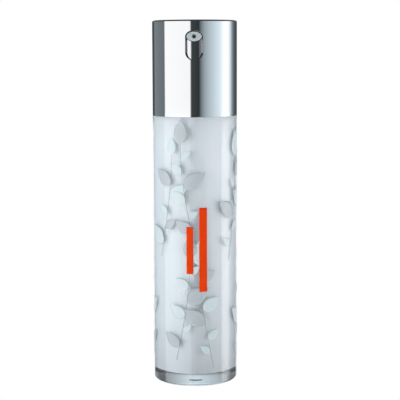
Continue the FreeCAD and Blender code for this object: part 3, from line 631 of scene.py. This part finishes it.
button_low, button_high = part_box("actuator_shell")
button_radius = button_high.x
bm = windowed_wall(button_radius, button_low.z, button_high.z, HOLE_HALF_WIDTH, NOZZLE_LEVEL,
                   HOLE_HALF_HEIGHT, NOZZLE_LEVEL, HOLE_HALF_HEIGHT)
rim = [edge for edge in bm.edges
       if edge.is_boundary and all(vert.co.z > button_high.z - MM for vert in edge.verts)]
dish_radius = button_radius - DISH_RIM
dish_rings = [(dish_radius * (1 - step / DISH_RINGS), DISH_DEPTH * (1 - (1 - step / DISH_RINGS) ** 2))
              for step in range(DISH_RINGS)]
for ring_radius, drop in dish_rings:
    made = bmesh.ops.extrude_edge_only(bm, edges=rim)["geom"]
    rim = [part for part in made if isinstance(part, bmesh.types.BMEdge) and part.is_boundary]
    for part in made:
        if isinstance(part, bmesh.types.BMVert):
            part.co.xy *= ring_radius / part.co.xy.length
            part.co.z = button_high.z - drop
centre = bm.verts.new((0, 0, button_high.z - DISH_DEPTH))
for edge in rim:
    bm.faces.new((edge.verts[0], edge.verts[1], centre))
bmesh.ops.recalc_face_normals(bm, faces=bm.faces)
hole_rim = opening_rim(bm, button_low.z, button_high.z)
inside = bmesh.ops.extrude_face_region(bm, geom=bm.faces[:], use_keep_orig=True)["geom"]
for part in inside:
    if isinstance(part, bmesh.types.BMVert):
        if tuple(part.co) in hole_rim:
            move_inwards(part, BUTTON_WALL, hole_rim, 1.0)
        else:
            part.co.xy *= 1 - BUTTON_WALL / button_radius
        part.co.z -= BUTTON_WALL if part.co.z > button_high.z - MM else 0
bmesh.ops.recalc_face_normals(bm, faces=bm.faces)
button_edge = button_radius - BUTTON_WALL / 2
round_edges(bm, BUTTON_ROUND, lambda co: co.z > button_high.z - 0.1 * MM and co.xy.length > button_edge)
round_edges(bm, FOOT_EDGE_ROUND, lambda co: co.z < button_high.z - MM)
button = new_piece("plated_button", bm)
true_walls(button, button_radius, button_radius - BUTTON_WALL)
button.data.materials.append(chrome_plating)
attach(button, "actuator")
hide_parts("actuator_shell")

# Nozzle
# The oval outlet at the front of the button, moulded in matt grey plastic with a round bore for the product.
# A round plug behind the oval presses into the core's channel.

NOZZLE_FACE_ROUND = 0.4 * MM
ORIFICE_RADIUS = 0.8 * MM
ORIFICE_DEPTH = 0.35 * MM
ORIFICE_ROUND = 0.15 * MM
BORE_RADIUS = 0.3 * MM
PLUG_RADIUS = 1.5 * MM
PLUG_LENGTH = 2.6 * MM
# Behind its front face the nozzle's grey is painted darker: painted shade for the gap round it and the hollow
# of its mouth.
SIDE_PAINTED_SHADE = 0.22
SIDE_PAINTED_SHADE_START = 0.03 * MM
SIDE_PAINTED_SHADE_END = 0.12 * MM
SIDE_ROUGHENING = 0.1
NOZZLE_SIDES = 64

nozzle_low, nozzle_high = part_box("nozzle_insert")
nozzle_half_width = nozzle_high.x
nozzle_half_height = (nozzle_high.z - nozzle_low.z) / 2
nozzle_face = nozzle_low.y
plug_end = nozzle_high.y
plug_start = plug_end - PLUG_LENGTH
nozzle_rings = [
    # Half width, half height and place along Y, from the plug's inner end round to the bore's inner end
    (PLUG_RADIUS, PLUG_RADIUS, plug_end),
    (PLUG_RADIUS, PLUG_RADIUS, plug_start),
    (nozzle_half_width, nozzle_half_height, plug_start),
    (nozzle_half_width, nozzle_half_height, nozzle_face),
    (ORIFICE_RADIUS, ORIFICE_RADIUS, nozzle_face),
    (ORIFICE_RADIUS, ORIFICE_RADIUS, nozzle_face + ORIFICE_DEPTH),
    (BORE_RADIUS, BORE_RADIUS, nozzle_face + ORIFICE_DEPTH),
    (BORE_RADIUS, BORE_RADIUS, plug_end),
    (PLUG_RADIUS, PLUG_RADIUS, plug_end),
]
bm = bmesh.new()
circle = bmesh.ops.create_circle(bm, segments=NOZZLE_SIDES, radius=1.0)["verts"]
bmesh.ops.rotate(bm, verts=circle, cent=(0, 0, 0), matrix=Matrix.Rotation(math.pi / 2, 3, "X"))
loop_verts = circle
loop_edges = bm.edges[:]
half_width, half_height, along = nozzle_rings[0]
for vert in loop_verts:
    vert.co = (vert.co.x * half_width, along, NOZZLE_LEVEL + vert.co.z * half_height)
last = nozzle_rings[0]
for ring_sizes in nozzle_rings[1:]:
    made = bmesh.ops.extrude_edge_only(bm, edges=loop_edges)["geom"]
    loop_verts = [part for part in made if isinstance(part, bmesh.types.BMVert)]
    loop_edges = [part for part in made if isinstance(part, bmesh.types.BMEdge) and part.is_boundary]
    for vert in loop_verts:
        vert.co.x *= ring_sizes[0] / last[0]
        vert.co.y = ring_sizes[2]
        vert.co.z = NOZZLE_LEVEL + (vert.co.z - NOZZLE_LEVEL) * ring_sizes[1] / last[1]
    last = ring_sizes
bmesh.ops.remove_doubles(bm, verts=bm.verts, dist=0.001 * MM)
bmesh.ops.recalc_face_normals(bm, faces=bm.faces)
bore_edge = ORIFICE_RADIUS + 0.1 * MM


def at_face(co):
    """Whether a point lies on the nozzle's front face."""
    return co.y < nozzle_face + 0.01 * MM


def in_bore(co):
    """Whether a point lies in the nozzle's mouth or at its edge."""
    return math.hypot(co.x, co.z - NOZZLE_LEVEL) < bore_edge


round_edges(bm, NOZZLE_FACE_ROUND, lambda co: at_face(co) and not in_bore(co))
round_edges(bm, ORIFICE_ROUND, lambda co: at_face(co) and in_bore(co))
nozzle = new_piece("grey_nozzle", bm)
even_shading(nozzle)
nozzle_grey = moulded_finish("nozzle_grey", (0.56, 0.62, 0.64, 1), (0.51, 0.57, 0.59, 1), 0.5, 0.6,
                             flow_scale=400, grain_scale=6000, relief=0.0002 * MM)
# Painted shade: from just behind the front face, on the sides and the mouth's floor, the grey falls to a
# share of itself and gets rougher.
nozzle_tree = nozzle_grey.node_tree
nozzle_place = add_node(nozzle_tree, "ShaderNodeSeparateXYZ",
                        {0: add_node(nozzle_tree, "ShaderNodeTexCoord").outputs["Object"]})
painted_shade_depth = add_node(nozzle_tree, "ShaderNodeMapRange", {
    "Value": nozzle_place.outputs["Y"],
    "From Min": nozzle_face + SIDE_PAINTED_SHADE_START,
    "From Max": nozzle_face + SIDE_PAINTED_SHADE_END,
})
paint_shade_where(nozzle_grey, painted_shade_depth.outputs["Result"], SIDE_PAINTED_SHADE, SIDE_ROUGHENING)
nozzle.data.materials.append(nozzle_grey)
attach(nozzle, "actuator")
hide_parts("nozzle_insert")

# Studio
# A pale table lit from below, a white backdrop, a broad soft light on the left, a graded card with a strip
# light on the right and dark flags between them, placed by their angle round the bottle.
# Soft fills from left, right and behind light the white and the ink.

FLOOR_RADIUS = 0.16
FLOOR_DROP = 0.1 * MM
FLOOR_GLOW = 1.0
TABLE_LIGHT = 0.58
# The table's glow fades towards the bottle as a painted contact shadow.
PAINTED_SHADOW_REACH = 28 * MM
SIDE_LIGHTS = [
    # Name, degrees to the right, strength and colour of the soft light that only the matt pieces pick up
    ("left_fill", -60, 1.32, (0.96, 1.0, 1.03)),
    ("right_fill", 60, 0.84, (1.0, 0.99, 1.0)),
    ("back_fill", 180, 1.35, (1.0, 1.0, 1.0)),
]
SIDE_LIGHT_HEIGHT = math.radians(12)
SIDE_LIGHT_SPREAD = math.radians(60)
COOL = (0.86, 1.0, 1.08)
NEUTRAL = (1.0, 1.0, 1.0)
LOW_LIGHTS = [
    # Name, where it starts and ends in degrees to the right, and its brightness there
    ("backdrop", -180, -157, 1.1, 1.1),
    ("left_flag", -154, -146, 0.1, 0.1),
    ("grey_card", -143, -93, 0.2, 0.2),
    ("softbox", -90, -13, 1.8, 1.8),
    ("front_flag", -10, 10.5, 0.05, 0.05),
    ("graded_card", 17, 41, 0.25, 0.55),
    ("far_card", 60, 75, 0.7, 0.8),
    ("strip", 82, 100, 4.0, 4.0),
    ("strip_edge", 112, 121, 1.0, 0.25),
    ("right_flag", 135, 150, 0.2, 0.1),
    ("backdrop", 154, 180, 1.1, 1.1),
]
LEVEL_LIGHTS = [
    ("backdrop", -180, -174, 0.35, 0.35),
    ("left_flag", -172, -143, 0.07, 0.07),
    ("grey_card", -140, -89, 0.24, 0.17),
    ("softbox", -87, -12, 1.06, 1.02),
    ("front_flag", -9, 12.5, 0.06, 0.035),
    ("graded_card", 16, 27, 0.15, 0.38),
    ("far_card", 41, 72, 0.56, 0.88),
    ("strip", 88, 102, 1.15, 1.15),
    ("strip_edge", 113, 123, 0.82, 0.3),
    ("right_flag", 137, 172, 0.1, 0.05),
    ("backdrop", 174, 180, 0.35, 0.35),
]
HIGH_LIGHTS = [
    ("backdrop", -180, -154, 0.9, 0.45),
    ("backdrop_edge", -152, -145, 0.42, 0.36),
    ("left_flag", -140, -134, 0.05, 0.05),
    ("grey_card", -128, -100, 0.14, 0.1),
    ("front_flag", -60, 60, 0.06, 0.06),
    ("strip", 100, 112, 0.2, 0.36),
    ("right_flag", 130, 143, 0.05, 0.06),
    ("backdrop_edge", 149, 160, 0.26, 0.44),
    ("backdrop", 165, 180, 0.55, 0.9),
]
CEILING = [
    ("back_half", -180, -100, 0.4, 0.1),
    ("back_half", 100, 180, 0.1, 0.4),
]
TIERS = [
    # Sines of the heights between which each ring of lights takes over from the one below it
    (-1.0, -0.9, LOW_LIGHTS),
    (-0.065, -0.052, LEVEL_LIGHTS),
    (0.06, 0.12, HIGH_LIGHTS),
    (0.22, 0.36, CEILING),
]

bm = bmesh.new()
bmesh.ops.create_circle(bm, segments=128, radius=FLOOR_RADIUS, cap_ends=True)
bmesh.ops.translate(bm, verts=bm.verts, vec=-UP * FLOOR_DROP)
floor = new_piece("pale_floor", bm)
floor_paint = moulded_finish("pale_floor_paint", (0.82, 0.82, 0.83, 1), (0.80, 0.80, 0.81, 1), 0.6, 0.7,
                             flow_scale=6, grain_scale=400)
floor_tree = floor_paint.node_tree
# Painted contact shadow: the table's own glow is nothing under the bottle and rises to full a little way out
# from its foot.
table_place = add_node(floor_tree, "ShaderNodeTexCoord")
from_bottle = add_node(floor_tree, "ShaderNodeVectorMath", {0: table_place.outputs["Object"]},
                       operation="LENGTH")
table_glow_painted_shadow = add_node(floor_tree, "ShaderNodeMapRange", {
    "Value": from_bottle.outputs["Value"],
    "From Min": body_radius,
    "From Max": PAINTED_SHADOW_REACH,
    "To Min": 0.0,
    "To Max": TABLE_LIGHT,
})
floor_shader = floor_tree.nodes["Principled BSDF"]
floor_tree.links.new(table_glow_painted_shadow.outputs["Result"], floor_shader.inputs["Emission Strength"])
lit_through = add_node(floor_tree, "ShaderNodeMixShader", {
    0: add_node(floor_tree, "ShaderNodeLightPath").outputs["Is Camera Ray"],
    1: floor_shader.outputs["BSDF"],
    2: add_node(floor_tree, "ShaderNodeEmission", {"Strength": FLOOR_GLOW}).outputs["Emission"],
})
floor_tree.links.new(lit_through.outputs["Shader"], floor_tree.nodes["Material Output"].inputs["Surface"])
floor.data.materials.append(floor_paint)
floor.visible_glossy = False

for name, degrees, strength, colour in SIDE_LIGHTS:
    side_light = bpy.data.objects.new(name, bpy.data.lights.new(name, "SUN"))
    side_light.data.angle = SIDE_LIGHT_SPREAD
    side_light.data.energy = strength
    side_light.data.color = colour
    side_light.rotation_euler = (math.pi / 2 - SIDE_LIGHT_HEIGHT, 0, math.radians(degrees))
    side_light.visible_glossy = False
    side_light.visible_transmission = name != "back_fill"
    bpy.context.scene.collection.objects.link(side_light)

world = bpy.data.worlds.new("studio")
bpy.context.scene.world = world
world.use_nodes = True
tree = world.node_tree
tree.nodes.clear()
way = add_node(tree, "ShaderNodeSeparateXYZ", {0: add_node(tree, "ShaderNodeTexCoord").outputs["Generated"]})
towards_camera = add_node(tree, "ShaderNodeMath", {0: way.outputs["Y"], 1: -1.0}, operation="MULTIPLY")
angle = add_node(tree, "ShaderNodeMath", {0: way.outputs["X"], 1: towards_camera.outputs[0]},
                 operation="ARCTAN2")
turn = add_node(tree, "ShaderNodeMath", {0: angle.outputs[0], 1: 1 / (2 * math.pi), 2: 0.5},
                operation="MULTIPLY_ADD")
light = None
for fade_start, fade_end, lights in TIERS:
    ramp = add_node(tree, "ShaderNodeValToRGB", {"Fac": turn.outputs[0]})
    while len(ramp.color_ramp.elements) < 2 * len(lights):
        ramp.color_ramp.elements.new(1.0)
    stops = []
    for name, start, end, start_brightness, end_brightness in lights:
        stops.append((start, start_brightness))
        stops.append((end, end_brightness))
    for element, (degrees, brightness) in zip(ramp.color_ramp.elements, stops):
        tint = COOL if brightness < 1 else NEUTRAL
        element.position = 0.5 + degrees / 360
        element.color = [brightness * share for share in tint] + [1]
    tier = add_node(tree, "ShaderNodeBackground", {"Color": ramp.outputs["Color"]})
    if light is None:
        light = tier
    else:
        fade = add_node(tree, "ShaderNodeMapRange",
                        {"Value": way.outputs["Z"], "From Min": fade_start, "From Max": fade_end})
        light = add_node(tree, "ShaderNodeMixShader",
                         {0: fade.outputs["Result"], 1: light.outputs[0], 2: tier.outputs[0]})
backdrop = add_node(tree, "ShaderNodeBackground", {"Color": (1, 1, 1, 1), "Strength": 1.0})
seen = add_node(tree, "ShaderNodeLightPath")
mix = add_node(tree, "ShaderNodeMixShader", {
    0: seen.outputs["Is Camera Ray"],
    1: light.outputs[0],
    2: backdrop.outputs[0],
})
add_node(tree, "ShaderNodeOutputWorld", {"Surface": mix.outputs[0]})
bpy.context.scene.view_settings.view_transform = "Standard"

# Camera
# A long lens at about the height of the window's foot, looking a little down at the bottle from its
# nozzle's side. Its place and turn come from the bottle's edges in the picture.

IMAGE_SIDE = 400
SENSOR = 36.0
FOCAL_PIXELS = 1235.05
CAMERA_PLACE = (4.66 * MM, -485.29 * MM, 130.03 * MM)
CAMERA_PITCH = math.radians(6.8959)
CAMERA_YAW = math.radians(-0.3207)
CAMERA_ROLL = math.radians(-0.16650)

camera = bpy.data.objects.new("camera", bpy.data.cameras.new("camera"))
camera.data.sensor_width = SENSOR
camera.data.lens = FOCAL_PIXELS / IMAGE_SIDE * SENSOR
camera.data.clip_start = 0.01
camera.location = CAMERA_PLACE
aim = (Matrix.Rotation(-CAMERA_YAW, 3, "Z") @ Matrix.Rotation(math.pi / 2 - CAMERA_PITCH, 3, "X")
       @ Matrix.Rotation(CAMERA_ROLL, 3, "Z"))
camera.rotation_euler = aim.to_euler()
bpy.context.scene.collection.objects.link(camera)
bpy.context.scene.camera = camera

# Update
# The scene's placements are brought up to date.

bpy.context.view_layer.update()
